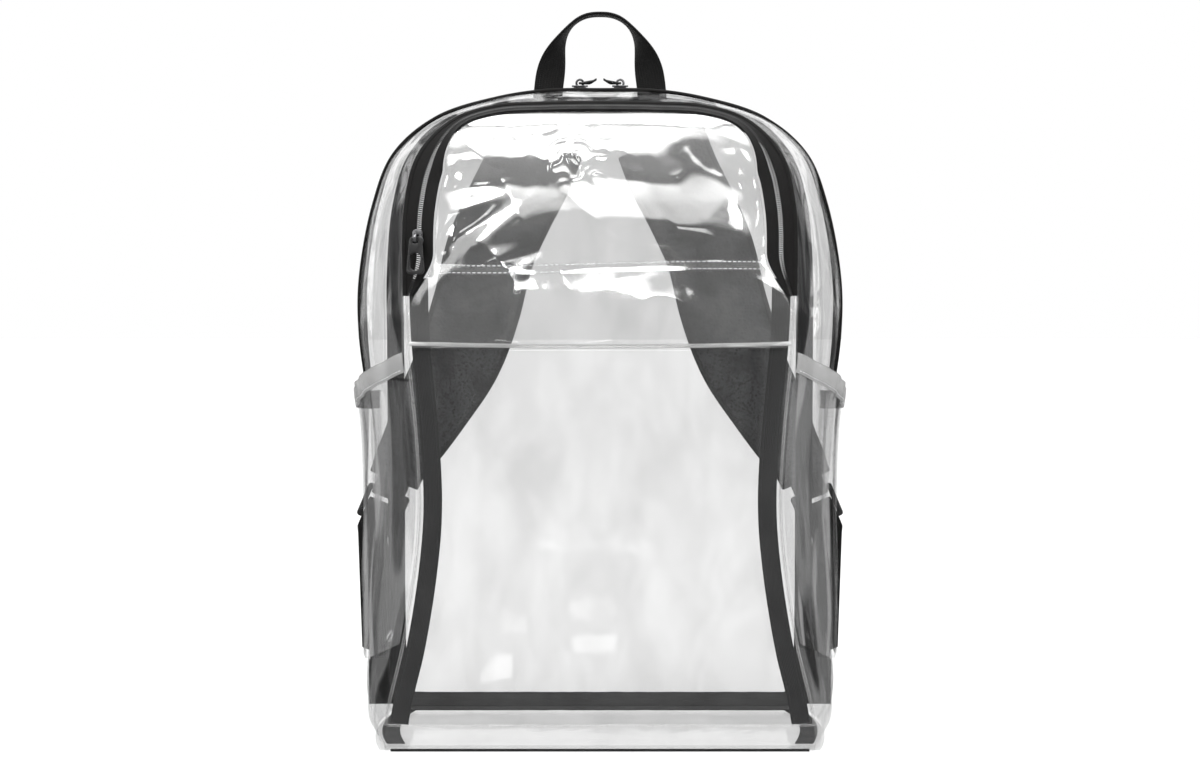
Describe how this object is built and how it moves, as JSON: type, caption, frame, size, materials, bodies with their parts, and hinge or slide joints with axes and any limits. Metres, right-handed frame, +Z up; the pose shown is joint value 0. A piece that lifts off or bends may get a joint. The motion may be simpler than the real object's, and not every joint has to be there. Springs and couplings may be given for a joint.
{
  "type": "clear stadium backpack",
  "caption": "Clear film backpack with a zipped arched front pocket, open side pockets, black seams and zips, a haul loop and padded shoulder straps.",
  "frame": {"origin": "centre of the base at floor level, halfway between the front and back panels", "axes": "+X to the viewer's right, +Y from the front panel to the back panel and straps, +Z up"},
  "size_m": [0.3772, 0.2275, 0.534],
  "materials": {
    "clear_film": "glossy clear vinyl film with soft wrinkles",
    "frosted_hem": "folded, milky clear hem",
    "black_tape": "woven zip and binding tape",
    "zip_coil": "black coil teeth",
    "black_webbing": "ribbed polyester webbing",
    "strap_fabric": "padded strap in spacer mesh with bound edges",
    "slider_metal": "black plated die-cast",
    "black_moulding": "moulded black plastic with a low sheen"
  },
  "bodies": {
    "bag": {"front_lower_panel": "clear_film", "front_upper_panel": "clear_film", "front_pocket_panel": "clear_film", "base_panel": "clear_film", "back_panel": "clear_film", "top_gusset": "clear_film", "rear_gusset": "clear_film", "left_side_gusset": "clear_film", "right_side_gusset": "clear_film", "left_side_pocket": "clear_film", "right_side_pocket": "clear_film", "left_side_pocket_hem": "frosted_hem", "right_side_pocket_hem": "frosted_hem", "left_front_seam_binding": "black_tape", "right_front_seam_binding": "black_tape", "left_base_side_binding": "black_tape", "right_base_side_binding": "black_tape", "back_seam_binding": "black_tape", "back_base_binding": "black_tape", "pocket_zip_tape_outer": "black_tape", "pocket_zip_tape_inner": "black_tape", "pocket_zip_coil": "zip_coil", "main_zip_tape_front": "black_tape", "main_zip_tape_rear": "black_tape", "main_zip_coil": "zip_coil", "pocket_zip_slider": "slider_metal", "main_zip_slider_left": "slider_metal", "main_zip_slider_right": "slider_metal", "haul_loop": "black_webbing", "left_shoulder_strap": "strap_fabric", "right_shoulder_strap": "strap_fabric", "left_strap_end_loop": "black_webbing", "right_strap_end_loop": "black_webbing", "left_ladder_lock": "black_moulding", "right_ladder_lock": "black_moulding", "left_lower_webbing": "black_webbing", "right_lower_webbing": "black_webbing", "left_strap_anchor": "black_webbing", "right_strap_anchor": "black_webbing"},
    "pocket_pull": {"pocket_zip_pull": "black_moulding"},
    "left_main_pull": {"main_zip_pull_left": "black_moulding"},
    "right_main_pull": {"main_zip_pull_right": "black_moulding"}
  },
  "joints": [
    {"name": "pocket_pull_hinge", "type": "hinge", "parent": "bag", "child": "pocket_pull", "pos_m": [-0.12687, -0.08344, 0.36216], "axis": [-0.958, 0.2866, -0.0026], "range_deg": [0, 165]},
    {"name": "left_main_pull_hinge", "type": "hinge", "parent": "bag", "child": "left_main_pull", "pos_m": [-0.015, 0.04496, 0.47856], "axis": [0, -0.9984, -0.0561], "range_deg": [0, 165]},
    {"name": "right_main_pull_hinge", "type": "hinge", "parent": "bag", "child": "right_main_pull", "pos_m": [0.015, 0.04496, 0.47856], "axis": [0, 0.9984, 0.0561], "range_deg": [0, 165]}
  ]
}
